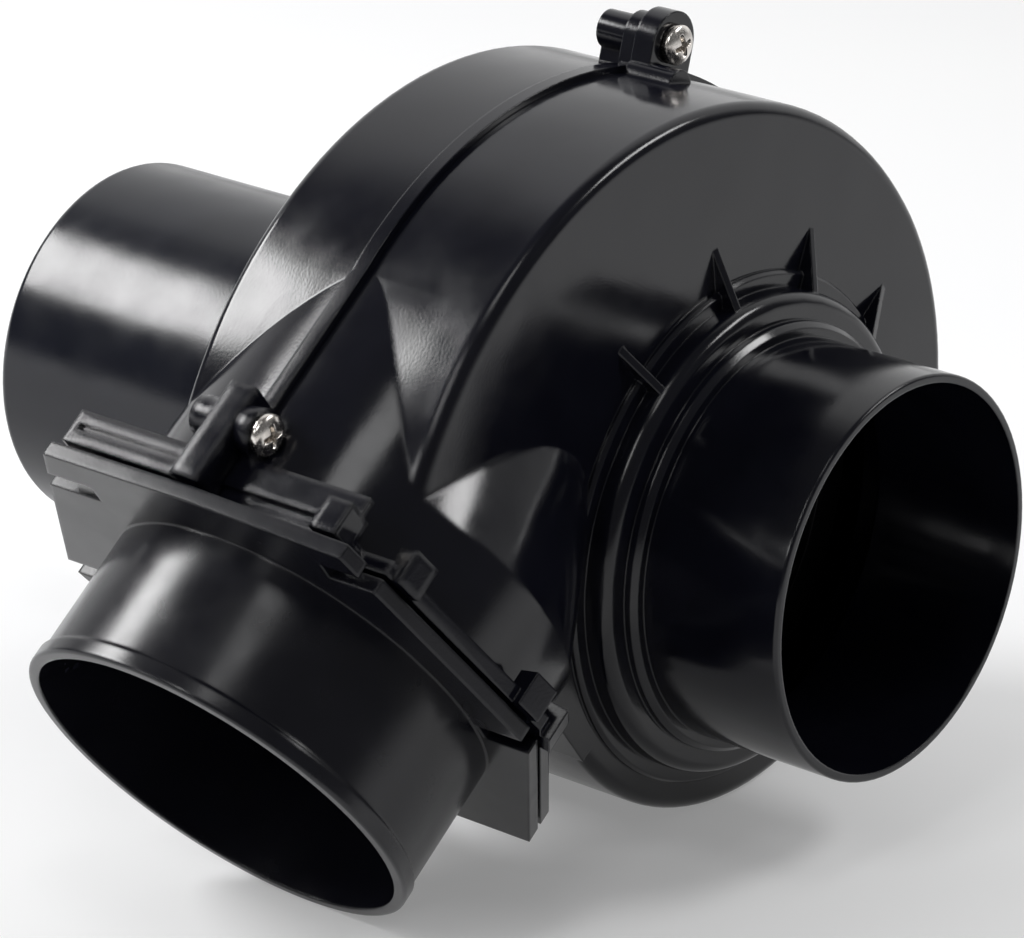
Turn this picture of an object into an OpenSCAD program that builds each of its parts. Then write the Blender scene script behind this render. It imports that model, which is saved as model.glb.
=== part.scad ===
// Centrifugal intake fan: a two-part scroll housing with a round inlet, a round outlet
// on a hexagonal flange, and a direct-current motor under a long cover behind the scroll.
// Modelled with the fan axis along Z and the seam of the two shells at z = 0, the inlet
// towards +Z and the outlet towards -X, then laid down as it rests on a table.

/* [Duct ends] */
// Outside diameter of the inlet and outlet pipes
duct_d = 75; // [68:0.5:80]
// Wall of the inlet and outlet pipes
duct_wall = 1.6; // [1.2:0.1:3]
// Inlet pipe, from the front face of the scroll to the mouth
inlet_reach = 37.5; // [25:0.1:70]
// Outlet mouth, distance from the fan axis
outlet_reach = 99.8; // [90:0.1:140]
// Height of the retaining bead at the outlet mouth
bead_h = 0.6; // [0.3:0.1:1.5]
// Width of the retaining bead
bead_w = 3; // [2:0.1:6]
// Rounding of the pipe mouths
mouth_r = 0.6; // [0.3:0.1:1]

/* [Scroll] */
// Radius of the scroll over the top
scroll_top_r = 81.5; // [79:0.5:88]
// Radius of the scroll down its far side
scroll_side_r = 65.6; // [63:0.1:70]
// Radius of the scroll under the fan, up to the tongue
scroll_foot_r = 58.2; // [57:0.1:62]
// Centre of the top arc, sideways from the fan axis
scroll_shift = -10.8; // [-13:0.1:-9]
// Centre of the top arc, above the fan axis
scroll_rise = 8.2; // [7:0.1:10]
// Depth of the front shell, from the seam
front_depth = 28.2; // [26:0.1:34]
// Depth of the rear shell, from the seam
rear_depth = 26.8; // [26:0.1:32]
// Wall of both shells
shell_wall = 2.2; // [1.6:0.1:3]
// Rounding of the scroll's outer edges
edge_r = 2.5; // [2.3:0.1:5]
// How far the seam lip of the rear shell stands out of the wall
lip_h = 1.2; // [0.6:0.1:2]
// Width of the seam lip
lip_w = 3; // [2:0.1:5]

/* [Inlet collar] */
// Outside radius of the low step on the front face
step_r = 48; // [46:0.5:50]
// Height of the low step
step_h = 1.3; // [0.6:0.1:2.5]
// Outside radius of the rounded ring
ring_r = 45; // [43.5:0.5:46]
// Height of the rounded ring above the front face
ring_h = 6.2; // [5:0.1:9]
// Height of the small shoulder between the ring and the pipe
shoulder_h = 2.3; // [1.5:0.1:4]
// Tip radius of the triangular gussets
gusset_r = 56; // [52:0.5:57]
// Thickness of a gusset
gusset_t = 1.6; // [1:0.1:3]

/* [Outlet throat and flange] */
// Height of the outlet axis above the fan axis
outlet_rise = 48.2; // [46:0.1:51]
// Outside radius of the round throat
throat_r = 41.2; // [39.5:0.1:42]
// Where the full round throat starts, from the fan axis
throat_start = 50.3; // [47:0.1:54]
// Where the fairing of the throat starts to rise out of the scroll's faces, from the fan axis
fairing_start = 12; // [8:0.5:24]
// Back of the shells' flange, from the fan axis
flange_start = 58.5; // [57:0.1:62]
// Depth of the shells' flange
flange_depth = 9.6; // [8:0.1:11]
// Thickness of the plate at the front of the shells' flange
flange_plate = 2.8; // [2:0.1:4]
// Thickness of the shelf behind the top edge of the shells' flange
shelf_t = 4.5; // [3:0.1:6]
// Thickness of the flange gasket
gasket_t = 1; // [0.8:0.1:3]
// Thickness of the outlet spigot's own plate
spigot_plate = 2.9; // [2:0.1:5]
// Top of the flange above the outlet axis, at the seam
flange_crown = 47.6; // [46:0.1:50]
// How far the top edge of the flange falls away to its front corner
flange_fall = 2.4; // [0.5:0.1:3]
// How far the top edge of the flange falls away to its rear corner
rear_fall = 0.3; // [0.1:0.1:2]
// Half width of the flange along its top edge
flange_top = 33; // [31:0.5:36]
// Half width of the flange at its side corners
flange_side = 50.6; // [49:0.1:56]
// How far the side corners sit towards the motor
side_shift = 2; // [0:0.1:3]
// Drop of the front side corner below the outlet axis, and rise of the rear one
side_drop = 5; // [0:0.1:6]
// Half width of the flange along its bottom edge
flange_foot = 29; // [27:0.5:34]
// Bottom edge of the flange below the outlet axis
flange_base = 45.6; // [44:0.1:48]
// Length of the clip blocks beside the flange corners
block_l = 5.5; // [4:0.1:6]
// How far the clip blocks stand out of the flange's edge
block_h = 1.8; // [0.5:0.1:3]
// Depth of the clip blocks along the outlet
block_d = 6.4; // [4:0.1:7]
// Width of the clip slots in the edge of the spigot's plate
clip_w = 4; // [3:0.1:5]

/* [Case screws] */
// Shank radius of a case screw
case_screw_r = 2; // [1.5:0.1:2.5]
// Head radius of a case screw
case_head_r = 3.7; // [3:0.1:4.5]
// Head height of a case screw
case_head_h = 2.6; // [2:0.1:3.5]
// Radius of the front bosses
boss_r = 6; // [5:0.1:7]
// Height of the front bosses above the seam
boss_h = 4.4; // [3:0.1:8]
// Radius of the boss at the throat
throat_boss_r = 4.3; // [4.2:0.1:5]
// Height of the boss at the throat above the seam
throat_boss_h = 3.2; // [2.6:0.1:4]
// Radius of the rear ears behind the bosses
ear_r = 4.7; // [4.5:0.1:6]
// Radius of the rear boss tubes
tube_r = 3.6; // [3.4:0.1:4.4]
// Length of the rear boss tubes behind the seam
tube_l = 10.5; // [9:0.5:18]

/* [Motor cover] */
// Outside radius of the motor cover
cover_r = 36; // [34:0.5:38]
// Wall of the motor cover
cover_wall = 1.8; // [1.4:0.1:3]
// Length of the motor cover behind the rear shell
cover_l = 96.9; // [70:0.1:120]
// Rounding of the cover's closed end
cover_edge = 2; // [1.5:0.5:6]
// Cable hole radius in the cover's end
cable_r = 3; // [2:0.1:4]

/* [Motor] */
// Outside radius of the motor can
can_r = 18; // [17:0.1:19]
// Length of the motor can
can_l = 50; // [48:0.5:60]
// Sheet thickness of the motor can
can_wall = 1.4; // [1:0.1:2]
// Motor seat in the rear shell, behind the seam
motor_seat = 10; // [8:0.5:12]
// Shaft radius
shaft_r = 2; // [1.5:0.1:2.5]
// Radius of the armature
armature_r = 12.4; // [11:0.1:13]
// Length of the armature stack
armature_l = 24; // [18:0.5:30]
// Poles of the armature
poles = 5; // [3:1:7]
// Radius of the commutator
commutator_r = 5.5; // [4.5:0.1:7]
// Outside radius of the bearing bushes
bush_r = 4.6; // [3.6:0.1:5]

/* [Impeller] */
// Outside radius of the impeller
impeller_r = 46; // [43:0.5:48]
// Inner radius of the blades
blade_in_r = 34; // [32:0.5:36]
// Radius of a blade's curve
blade_curve = 7; // [6.5:0.1:9]
// Thickness of a blade
blade_t = 1.1; // [0.8:0.1:1.6]
// Number of blades
blades = 24; // [16:1:30]
// Back plate of the impeller, behind the seam
impeller_back = 17; // [15:0.5:18]
// Front ring of the impeller, before the seam
impeller_front = 19; // [16:0.5:21]
// Wall of the impeller's plate, hub and ring
impeller_wall = 2; // [1.4:0.1:2.4]

/* [Clearances] */
// Radial running clearance of the shaft in its bushes
run_gap = 0.03; // [0.02:0.01:0.08]
// Free play between turning and still faces
free_gap = 0.4; // [0.3:0.05:0.8]
// Radial clearance of pieces that slide together by hand
slip_gap = 0.15; // [0.1:0.05:0.3]
// Radial clearance of a screw in its through hole
hole_gap = 0.25; // [0.15:0.05:0.4]

/* [Hidden] */
$fn = 96;
tiny = 0.01;
far = 200;

duct_r = duct_d / 2;
bore_r = duct_r - duct_wall;
throat_in_r = throat_r - shell_wall;
inlet_z = front_depth + inlet_reach;
front_in = front_depth - shell_wall;
rear_in = rear_depth - shell_wall;
inner_edge = max(edge_r - shell_wall, 0.5);

// Centres of the three tangent arcs of the scroll, and where it opens to the outlet
top_c = [scroll_shift, scroll_rise];
side_c = top_c + [scroll_top_r - scroll_side_r, 0];
foot_c = side_c - [0, scroll_side_r - scroll_foot_r];
tongue_x = scroll_foot_r - foot_c[0] + 0.4;

// The shells' flange, the gasket and the spigot's plate, one after the other along the outlet
flange_face = flange_start + flange_depth;
spigot_face = flange_face + gasket_t;
plate_end = spigot_face + spigot_plate;
bead_r = duct_r + bead_h;
flange_shoulder = flange_crown - flange_fall;

// Clip slots sit a little below the top corners of the flange, where the shells' corners are cut away
slot_gap = 5;
corner_cut = 4;

// On a table the fan rests on the foot arc of the scroll and on the rim of the outlet
rest_reach = outlet_reach + foot_c[0];
rest_drop = outlet_rise - bead_r - foot_c[1];
rest_tilt = asin(scroll_foot_r / norm([rest_reach, rest_drop])) + atan2(rest_drop, rest_reach);

// Case screw places, in the plane of the seam
boss_out = 6;
wall_places = [[top_c, scroll_top_r, 37.5], [side_c, scroll_side_r, -24], [side_c, scroll_side_r, -78]];
throat_boss = [4.2 - flange_start, outlet_rise + throat_r + 3];
screw_places = concat([for (p = wall_places) p[0] + polar(p[1] + boss_out, p[2])], [throat_boss]);
screw_turns = concat([for (p = wall_places) p[2]], [90]);
boss_sizes = concat([for (p = wall_places) boss_r], [throat_boss_r]);
boss_tops = concat([for (p = wall_places) boss_h], [throat_boss_h]);
last_screw = len(screw_places) - 1;

// Motor stations along the fan axis
can_front = -motor_seat;
can_back = can_front - can_l;
boss_rise = 3.4;
bearing_l = 6;
bearing_boss_r = bush_r + can_wall;
well_r = can_r + slip_gap;
well_wall = 2;
seat_wall = 2;
cap_plate = 3;
cap_plug = 9;
rear_boss_l = 6;
cap_back = can_back - cap_plate;
magnet_t = 3.4;
magnet_l = 32;
commutator_l = 9;
commutator_back = can_back + 1;
winding_l = 5;
armature_back = commutator_back + commutator_l + 1 + winding_l;
armature_front = armature_back + armature_l;
bearing_stop = 1.2;
terminal_w = 6.3;
terminal_t = 0.8;
terminal_place = can_r * 2 / 3;
slot_r = 2.6;
slot_w = 1.6;
slot_place = armature_r - slot_r - 2.2;
brush_w = 4;
brush_t = 3.2;
brush_l = 6;
brush_z = commutator_back + commutator_l / 2;
motor_screw_pcd = 25;
motor_screw_r = 1.5;

// Impeller stations
hub_top = 0;
hub_r = 6.5;
hub_bush_r = 4;
hub_front = 9;
crown_r = 22;
skirt_r = 30;
washer_t = 0.8;
nut_h = 4;
shaft_front = hub_front + washer_t + nut_h + 1.5;
shaft_back = cap_back - rear_boss_l + bearing_stop + free_gap;

// Cover screws sit between the motor and the cover's wall
cover_post_r = 3.6;
cover_post_place = cover_r - cover_wall - cover_post_r + 1;
cover_post_l = 14;
cover_screw_r = 1.4;
cover_collar_h = 4;

// Point at a distance and an angle
function polar(r, a) = [r * cos(a), r * sin(a)];

// Quarter round at the outer edge of a mouth of radius r that ends at station z
function mouth(r, z) = [for (a = [0 : 15 : 90]) [r - mouth_r, z - mouth_r] + polar(mouth_r, a)];

// Half section of a disc from z0 to z1 with rounded outer edges
function rounded_disc(r, z0, z1, e) = concat(
    [[0, z0]],
    [for (a = [-90 : 15 : 0]) [r - e, z0 + e] + polar(e, a)],
    [for (a = [0 : 15 : 90]) [r - e, z1 - e] + polar(e, a)],
    [[0, z1]]);

// Lays the fan down as it rests, with the centre of the inlet mouth at the origin
module placed() {
    translate([0, inlet_z, 0])
        rotate([0, -rest_tilt, 0])
            rotate([90, 0, 0])
                children();
}

// Turns +Z along the outlet, +X towards the inlet side and +Y up, from the outlet axis
module outlet_frame() {
    translate([0, outlet_rise, 0])
        rotate([0, -90, 0])
            children();
}

// The space on the inlet side of the seam
module front_space() {
    block([-far, -far, 0], [far, far, far]);
}

// The space behind the seam
module rear_space() {
    block([-far, -far, -far], [far, far, 0]);
}

// A cylinder along the fan axis between two stations
module rod(r, z0, z1) {
    translate([0, 0, z0])
        cylinder(r = r, h = z1 - z0);
}

// A ring along the fan axis between two stations
module ring(r_out, r_in, z0, z1) {
    difference() {
        rod(r_out, z0, z1);
        rod(r_in, z0 - 1, z1 + 1);
    }
}

// A block between two corners
module block(from, to) {
    translate(from)
        cube(to - from);
}

// A sector of the scroll with rounded edges, between two turns about its centre
module scroll_arc(centre, r, z0, z1, e, from, to) {
    translate(centre)
        rotate([0, 0, from])
            rotate_extrude(angle = to - from)
                polygon(rounded_disc(r, z0, z1, e));
}

// The scroll as a solid: three tangent arcs, cut off where they open to the outlet
module scroll(inset, z0, z1, e) {
    open_x = inset - tongue_x;
    intersection() {
        scroll_arc(top_c, scroll_top_r - inset, z0, z1, e, 0, 180);
        block([open_x, -far, -far], [far, far, far]);
    }
    scroll_arc(side_c, scroll_side_r - inset, z0, z1, e, -90, 0);
    scroll_arc(foot_c, scroll_foot_r - inset, z0, z1, e, 180, 270);
    block([open_x, foot_c[1], z0], [side_c[0], top_c[1], z1]);
}

// The throat: round near the flange, with a cone that rises out of the scroll's flat faces before
// it, and level with the scroll's top and tongue further in
module throat(inset, z0, z1) {
    r = throat_r - inset;
    fairing_r = rear_in - inset;
    outlet_frame()
        rotate_extrude()
            polygon([
                [0, fairing_start], [fairing_r, fairing_start], [r, throat_start],
                [r, flange_face - tiny], [0, flange_face - tiny]]);
    intersection() {
        outlet_frame()
            rod(r, -top_c[0], throat_start + 1);
        block([-far, -far, z0], [far, far, z1]);
    }
}

// Outside of the closed housing, without flange and inlet
module case_outside() {
    scroll(0, -rear_depth, front_depth, edge_r);
    throat(0, -rear_depth, front_depth);
}

// Air space of the closed housing
module case_inside() {
    scroll(shell_wall, -rear_in, front_in, inner_edge);
    throat(shell_wall, -rear_in, front_in);
    outlet_frame()
        rod(throat_in_r, flange_start, flange_face + 1);
}

// Corners of the outlet flange, from the crown round by the inlet side
flange_points = [
    [0, flange_crown], [flange_top, flange_shoulder], [flange_side - side_shift, -side_drop],
    [flange_foot, -flange_base], [-flange_foot, -flange_base],
    [-flange_side - side_shift, side_drop], [-flange_top, flange_crown - rear_fall]];

// A hexagonal plate across the outlet axis
module flange_slab(from, to) {
    translate([0, 0, from])
        linear_extrude(to - from)
            polygon(flange_points);
}

// A clip block on the flange's edge, between two distances from corner a towards corner b
module clip_block(a, b, gap) {
    side = a[0] * b[1] - a[1] * b[0] < 0 ? 0 : 1;
    translate([a[0], a[1], flange_face - block_d])
        rotate([0, 0, atan2(b[1] - a[1], b[0] - a[0])])
            mirror([0, side, 0])
                translate([gap, -flange_plate, 0])
                    cube([block_l, flange_plate + block_h, block_d]);
}

// The shells' flange: a plate, a shelf behind its top edge that steps down on the inlet side,
// and clip blocks beside the corners
module case_flange() {
    shelf_gap = 3.6;
    shelf_drop = 3;
    outlet_frame()
        difference() {
            union() {
                flange_slab(flange_face - flange_plate, flange_face);
                intersection() {
                    flange_slab(flange_start, flange_face);
                    block([-flange_top, flange_shoulder - shelf_t, flange_start - 1],
                        [flange_top, flange_crown + 1, flange_face + 1]);
                }
                for (c = [[1, 2], [6, 5]])
                    clip_block(flange_points[c[0]], flange_points[c[1]], slot_gap + clip_w + 2);
                for (c = [[2, 1], [5, 6], [2, 3], [5, 4]])
                    clip_block(flange_points[c[0]], flange_points[c[1]], clip_w / 2 + 0.6);
            }
            for (side = [0, 1])
                mirror([side, 0, 0])
                    block([flange_top - corner_cut, flange_shoulder - slot_gap - clip_w, flange_start - 1],
                        [far, far, flange_face + 1]);
            block([0, flange_shoulder - shelf_drop, flange_start - 1], [far, far, flange_face + 1]);
            block([0, throat_r + tiny, flange_face - shelf_gap], [far, far, flange_face + 1]);
        }
    outlet_frame()
        block([flange_top - corner_cut - block_l, throat_in_r, flange_face - block_d],
            [flange_top - corner_cut, flange_shoulder, flange_face]);
}

// The space behind the flange's top edge that the rear shell's bar takes up
module bar_space() {
    outlet_frame()
        block([-far, flange_shoulder - shelf_t, flange_start - 1], [0, far, flange_face + 1]);
}

// The rear shell's bar behind the flange's top edge, with a shallow groove along it
module flange_bar() {
    bar_top = flange_crown - 1.6;
    bar_back = flange_start + 2.6;
    bar_front = flange_face - 0.4;
    bar_end = 0.4 - flange_top;
    groove_d = 0.6;
    groove_w = 1.2;
    groove_z = bar_back + (bar_front - bar_back) * 0.4;
    outlet_frame()
        difference() {
            block([bar_end, flange_shoulder - shelf_t - 1, bar_back], [0, bar_top, bar_front]);
            block([bar_end + 1.6, bar_top - groove_d, groove_z], [1, bar_top + 1, groove_z + groove_w]);
        }
}

// An ear that carries a case screw: a round post, and a web back into the wall
module screw_ear(i, r, web, z0, z1) {
    reach = 8;
    translate(screw_places[i])
        rotate([0, 0, screw_turns[i]])
            translate([0, 0, z0]) {
                cylinder(r = r, h = z1 - z0);
                translate([-reach, -web, 0])
                    cube([reach, 2 * web, z1 - z0]);
            }
}

// The ridge of the rear shell that runs level from the flange past the ear at the throat
module ear_ridge() {
    ridge_w = 6.6;
    ridge_round = 1.5;
    ridge_start = flange_start - 10;
    ridge_base = throat_r - shell_wall * 0.7;
    ridge_top = throat_boss[1] + throat_boss_r - outlet_rise;
    outlet_frame()
        translate([0, 0, ridge_start])
            linear_extrude(flange_face - 0.1 - ridge_start)
                polygon(concat(
                    [[0, ridge_base]],
                    [for (a = [0 : 15 : 90]) [-ridge_round / 2, ridge_top - ridge_round / 2]
                        + polar(ridge_round / 2, a)],
                    [for (a = [90 : 15 : 180]) [ridge_round - ridge_w, ridge_top - ridge_round]
                        + polar(ridge_round, a)],
                    [[-ridge_w, ridge_base]]));
}

// The same shape at every case screw
module at_screws() {
    for (p = screw_places)
        translate(p)
            children();
}

// Ring, shoulder and pipe of the inlet, as one turned section
module inlet_outside() {
    ring_round = 2.5;
    ring_top = front_depth + ring_h;
    shoulder_r = duct_r + 2.6;
    rotate_extrude()
        polygon(concat(
            [[0, front_in], [step_r, front_in], [step_r, front_depth + step_h / 2],
             [step_r - 0.6, front_depth + step_h], [ring_r, front_depth + step_h]],
            [for (a = [0 : 15 : 90]) [ring_r - ring_round, ring_top - ring_round] + polar(ring_round, a)],
            [[shoulder_r, ring_top], [shoulder_r, ring_top + shoulder_h - 1],
             [shoulder_r - 1, ring_top + shoulder_h], [duct_r, ring_top + shoulder_h]],
            mouth(duct_r, inlet_z),
            [[0, inlet_z]]));
}

// Air passage of the inlet: a bell mouth that follows the ring, then the pipe
module inlet_passage() {
    bell_r = ring_r - shell_wall;
    bell_top = front_depth + ring_h - shell_wall;
    rotate_extrude()
        polygon([
            [0, front_in - 1], [bell_r, front_in - 1], [bell_r, front_depth + step_h],
            [bell_r - 2.5, bell_top], [bore_r, bell_top + shell_wall],
            [bore_r, inlet_z + 1], [0, inlet_z + 1]]);
}

// Triangular gussets between the front face and the inlet's ring
module gussets() {
    gusset_step = 30;
    for (a = [-59 : gusset_step : 91])
        rotate([90, 0, a])
            linear_extrude(gusset_t, center = true)
                polygon([
                    [ring_r - 2, front_in + 1], [gusset_r, front_in + 1], [gusset_r, front_depth],
                    [ring_r - 1, front_depth + ring_h - 1.5], [ring_r - 2, front_depth + ring_h - 1.5]]);
}

// Small nub on the scroll's wall under the top screw
module top_nub() {
    nub_r = 3.4;
    nub_l = 10.5;
    nub_turn = 3;
    nub_sink = 1;
    translate(top_c + polar(scroll_top_r - nub_sink, wall_places[0][2] + nub_turn))
        rod(nub_r, 0, nub_l);
}

module front_shell() {
    color("black") placed()
        difference() {
            union() {
                intersection() {
                    case_outside();
                    front_space();
                }
                intersection() {
                    case_flange();
                    front_space();
                }
                for (i = [0 : last_screw])
                    screw_ear(i, boss_sizes[i], boss_sizes[i], 0, boss_tops[i]);
                top_nub();
                inlet_outside();
                gussets();
            }
            case_inside();
            inlet_passage();
            at_screws()
                rod(case_screw_r + hole_gap, -1, boss_h + 1);
            for (i = [0 : last_screw])
                translate(screw_places[i])
                    rod(case_head_r + hole_gap, boss_tops[i], boss_tops[i] + case_head_h + 1);
        }
}

// The seam lip, over the top and the far side of the scroll and along the throat
module seam_lip() {
    lip_end_y = side_c[1] + scroll_side_r * sin(wall_places[2][2]);
    root = shell_wall / 2;
    intersection() {
        translate(top_c)
            ring(scroll_top_r + lip_h, scroll_top_r - root, -lip_w, 0);
        block([-tongue_x, top_c[1], -far], [far, far, far]);
    }
    intersection() {
        translate(side_c)
            ring(scroll_side_r + lip_h, scroll_side_r - root, -lip_w, 0);
        block([side_c[0], lip_end_y, -far], [far, side_c[1], far]);
    }
    intersection() {
        outlet_frame()
            rod(throat_r + lip_h, -top_c[0], flange_start + 1);
        block([-far, outlet_rise, -lip_w], [far, far, 0]);
    }
}

// The cup in the rear shell that the motor sits in, reaching forward under the impeller
module motor_well() {
    rod(well_r + well_wall, -rear_depth, -motor_seat + seat_wall);
}

module rear_shell() {
    ear_t = 3.6;
    rib = 1.2;
    color("black") placed()
        difference() {
            union() {
                difference() {
                    union() {
                        intersection() {
                            case_outside();
                            rear_space();
                        }
                        intersection() {
                            difference() {
                                case_flange();
                                bar_space();
                            }
                            rear_space();
                        }
                        flange_bar();
                        seam_lip();
                        ear_ridge();
                        for (i = [0 : last_screw]) {
                            screw_ear(i, min(boss_sizes[i], ear_r), ear_r, -ear_t, 0);
                            screw_ear(i, tube_r, rib, -tube_l, -ear_t + tiny);
                        }
                        ring(cover_r + slip_gap + shell_wall, cover_r + slip_gap,
                            -rear_depth - cover_collar_h, -rear_depth + tiny);
                    }
                    case_inside();
                }
                motor_well();
            }
            rod(well_r, -rear_depth - 1, -motor_seat);
            rod(bearing_boss_r + slip_gap, -motor_seat - 1, -motor_seat + seat_wall + 1);
            for (s = [-1, 1])
                translate([s * motor_screw_pcd / 2, 0, 0])
                    rod(motor_screw_r + hole_gap, -motor_seat - 1, -motor_seat + seat_wall + 1);
            for (a = [90 : 120 : 330])
                translate(polar(cover_post_place, a))
                    rod(cover_screw_r + hole_gap, -rear_depth - 1, -rear_in + 1);
            at_screws()
                rod(case_screw_r, -tube_l + 1.5, 1);
        }
}

module motor_cover() {
    inner_end = -rear_depth - cover_l + cover_wall;
    color("black") placed()
        difference() {
            union() {
                difference() {
                    rotate_extrude()
                        polygon(concat(
                            [[0, -rear_depth - cover_l]],
                            [for (a = [-90 : 15 : 0])
                                [cover_r - cover_edge, -rear_depth - cover_l + cover_edge]
                                + polar(cover_edge, a)],
                            [[cover_r, -rear_depth], [0, -rear_depth]]));
                    rod(cover_r - cover_wall, inner_end, -rear_depth + 1);
                }
                for (a = [90 : 120 : 330])
                    intersection() {
                        translate(polar(cover_post_place, a))
                            rod(cover_post_r, -rear_depth - cover_post_l, -rear_depth);
                        rod(cover_r - cover_wall / 2, -rear_depth - cover_post_l, -rear_depth);
                    }
            }
            for (a = [90 : 120 : 330])
                translate(polar(cover_post_place, a))
                    rod(cover_screw_r, -rear_depth - cover_post_l + 2, -rear_depth + 1);
            translate([0, -cover_r * 0.6, 0])
                rod(cable_r + 1.6, -rear_depth - cover_l - 1, inner_end + 1);
        }
}

// Rubber grommet of the cable hole: a sleeve with a lip on each side of the wall
module cable_grommet() {
    end = -rear_depth - cover_l;
    grommet_lip = 1.4;
    color("dimgray") placed()
        translate([0, -cover_r * 0.6, 0])
            difference() {
                union() {
                    rod(cable_r + 1.6, end, end + cover_wall);
                    rod(cable_r + 3, end + cover_wall, end + cover_wall + grommet_lip);
                }
                rod(cable_r, end - 1, end + cover_wall + grommet_lip + 1);
            }
}

// The outlet's own piece: a hexagonal plate with the pipe and its bead
module outlet_spigot() {
    slot_in = 26;
    side_slot_in = 38;
    color("#202020") placed()
        outlet_frame()
            difference() {
                union() {
                    flange_slab(spigot_face, plate_end);
                    rotate_extrude()
                        polygon(concat(
                            [[0, spigot_face], [duct_r, spigot_face],
                             [duct_r, outlet_reach - bead_w - bead_h], [bead_r, outlet_reach - bead_w]],
                            mouth(bead_r, outlet_reach),
                            [[0, outlet_reach]]));
                }
                rod(bore_r, spigot_face - 1, outlet_reach + 1);
                for (side = [0, 1])
                    mirror([side, 0, 0]) {
                        block([slot_in, flange_shoulder - slot_gap - clip_w, spigot_face - 1],
                            [far, flange_shoulder - slot_gap, plate_end + 1]);
                    }
                for (side = [-1, 1])
                    translate([side * (side_slot_in + far / 2), -side * side_drop, plate_end])
                        cube([far, clip_w, 4 * spigot_plate], center = true);
            }
}

// Foam gasket between the two flanges, round the air passage
module outlet_gasket() {
    color("#303030") placed()
        outlet_frame()
            ring(throat_r - tiny, throat_in_r, flange_face, spigot_face);
}

// Pan-head screw with a cross recess, head up from the origin, shank down
module pan_screw(r, l, head_r, head_h) {
    recess_w = head_r * 0.28;
    recess_l = head_r * 1.15;
    difference() {
        union() {
            rotate_extrude()
                polygon([
                    [0, 0], [head_r, 0], [head_r, head_h * 0.45], [head_r * 0.86, head_h * 0.76],
                    [head_r * 0.55, head_h * 0.95], [0, head_h]]);
            rod(r, -l, tiny);
        }
        for (a = [0, 90])
            rotate([0, 0, a])
                translate([-recess_l / 2, -recess_w / 2, head_h * 0.45])
                    cube([recess_l, recess_w, head_h]);
    }
}

module case_screws() {
    color("silver") placed()
        for (i = [0 : last_screw])
            translate([screw_places[i][0], screw_places[i][1], boss_tops[i]])
                pan_screw(case_screw_r, boss_tops[i] + tube_l - 3, case_head_r, case_head_h);
}

module cover_screws() {
    color("silver") placed()
        for (a = [90 : 120 : 330])
            translate(polar(cover_post_place, a))
                translate([0, 0, -rear_in])
                    pan_screw(cover_screw_r, shell_wall + cover_post_l - 4, 2.6, 1.6);
}

module motor_screws() {
    color("silver") placed()
        for (s = [-1, 1])
            translate([s * motor_screw_pcd / 2, 0, -motor_seat + seat_wall])
                pan_screw(motor_screw_r, seat_wall + can_wall + 1, 2.6, 1.5);
}

// Drawn steel can, open at the back, with a bearing boss on its face
module motor_can() {
    color("gray") placed()
        difference() {
            union() {
                rod(can_r, can_back, can_front);
                rod(bearing_boss_r, can_front - tiny, can_front + boss_rise);
            }
            rod(can_r - can_wall, can_back - 1, can_front - can_wall);
            rod(bush_r, can_front - can_wall - 1, can_front + boss_rise - can_wall / 2);
            rod(shaft_r + free_gap, can_front, can_front + boss_rise + 1);
            for (s = [-1, 1])
                translate([s * motor_screw_pcd / 2, 0, 0])
                    rod(motor_screw_r, can_front - can_wall - 1, can_front + 1);
        }
}

// Two arc magnets against the inside of the can, level with the armature
module motor_magnets() {
    arc = 130;
    inner = can_r - can_wall - magnet_t;
    color("#3a3a3c") placed()
        for (a = [-arc / 2, 180 - arc / 2])
            translate([0, 0, (armature_back + armature_front - magnet_l) / 2])
                rotate([0, 0, a])
                    rotate_extrude(angle = arc)
                        translate([inner, 0])
                            square([magnet_t, magnet_l]);
}

// Plastic end cap that plugs the can, with the rear bearing and two brush boxes
module motor_end_cap() {
    plug_r = can_r - can_wall;
    color("#2c2c2e") placed()
        difference() {
            union() {
                rod(can_r, cap_back, can_back);
                rod(plug_r, can_back - tiny, can_back + cap_plug);
                rod(bush_r + 2.4, cap_back - rear_boss_l, cap_back + tiny);
            }
            rod(commutator_r + 3, can_back, can_back + cap_plug + 1);
            rod(bush_r, cap_back - rear_boss_l + bearing_stop, can_back + 1);
            translate([0, 0, brush_z])
                cube([2 * plug_r + 2, brush_w + 2 * slip_gap, brush_t + 2 * slip_gap], center = true);
            for (s = [-1, 1])
                translate([-terminal_w / 2, s * terminal_place - terminal_t / 2, cap_back - 1])
                    cube([terminal_w, terminal_t, cap_plate + cap_plug + 2]);
        }
}

module front_bearing() {
    top = can_front + boss_rise - can_wall / 2;
    color("#b08d57") placed()
        ring(bush_r, shaft_r + run_gap, top - bearing_l + 1, top);
}

module rear_bearing() {
    bottom = cap_back - rear_boss_l + bearing_stop;
    color("#b08d57") placed()
        ring(bush_r, shaft_r + run_gap, bottom, bottom + bearing_l);
}

// Two carbon brushes that face the commutator
module motor_brushes() {
    color("#1c1c1e") placed()
        for (s = [0, 180])
            rotate([0, 0, s])
                difference() {
                    translate([commutator_r, -brush_w / 2, brush_z - brush_t / 2])
                        cube([brush_l, brush_w, brush_t]);
                    rod(commutator_r + free_gap, brush_z - brush_t, brush_z + brush_t);
                }
}

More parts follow.
